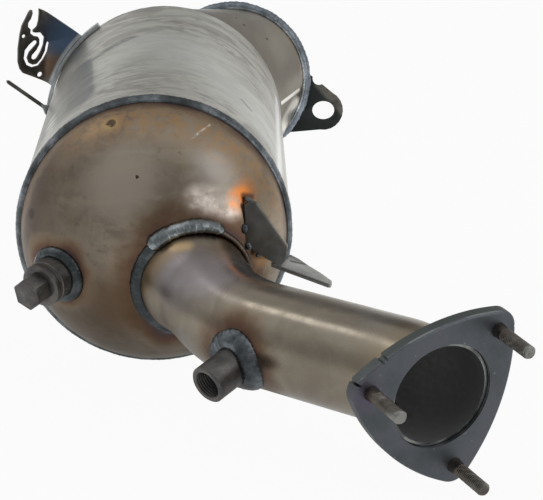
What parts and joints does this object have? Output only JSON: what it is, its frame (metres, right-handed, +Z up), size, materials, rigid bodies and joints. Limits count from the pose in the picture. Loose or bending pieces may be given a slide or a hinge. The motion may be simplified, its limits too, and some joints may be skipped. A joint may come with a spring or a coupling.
{
  "type": "diesel particulate filter",
  "caption": "Steel exhaust filter: round can with a domed outlet end, bent outlet pipe with a studded three-lobed flange, and a leaning inlet cone.",
  "frame": {"origin": "bottom centre of the bounding box, on the plane that the can stands on", "axes": "+Y along the can towards the inlet, -Y towards the outlet flange, +X towards the side that the outlet pipe leans to, +Z up"},
  "size_m": [0.2878, 0.5878, 0.1562],
  "materials": {
    "shell_steel": "brushed round the can",
    "dome_steel": "pressed and heat tinted",
    "pipe_steel": "polished with heat tints",
    "weld_steel": "dark weld bead",
    "flange_steel": "dark mill scale",
    "stud_steel": "grey-brown turned steel",
    "bracket_steel": "dark pressed sheet",
    "filter_ceramic": "matt, porous",
    "mat_fibre": "matt fibre"
  },
  "bodies": {
    "root": {"can_shell": "shell_steel", "can_rear_weld": "weld_steel", "outlet_dome": "dome_steel", "dome_rim_weld": "weld_steel", "outlet_pipe": "pipe_steel", "outlet_pipe_weld": "weld_steel", "outlet_flange": "flange_steel", "outlet_flange_weld": "weld_steel", "flange_stud_1": "stud_steel", "flange_stud_2": "stud_steel", "flange_stud_3": "stud_steel", "pipe_sensor_boss": "stud_steel", "pipe_boss_weld": "weld_steel", "dome_sensor_boss": "stud_steel", "dome_boss_weld": "weld_steel", "dome_plug_washer": "stud_steel", "dome_boss_plug": "stud_steel", "dome_bracket": "bracket_steel", "inlet_cone": "shell_steel", "inlet_ring_weld": "weld_steel", "inlet_cap": "shell_steel", "inlet_clamp_flange": "stud_steel", "inlet_eye_bracket": "bracket_steel", "clip_bracket": "bracket_steel", "side_tab": "bracket_steel", "filter_brick": "filter_ceramic", "support_mat": "mat_fibre", "front_seal_ring": "stud_steel", "rear_seal_ring": "stud_steel"}
  },
  "joints": []
}
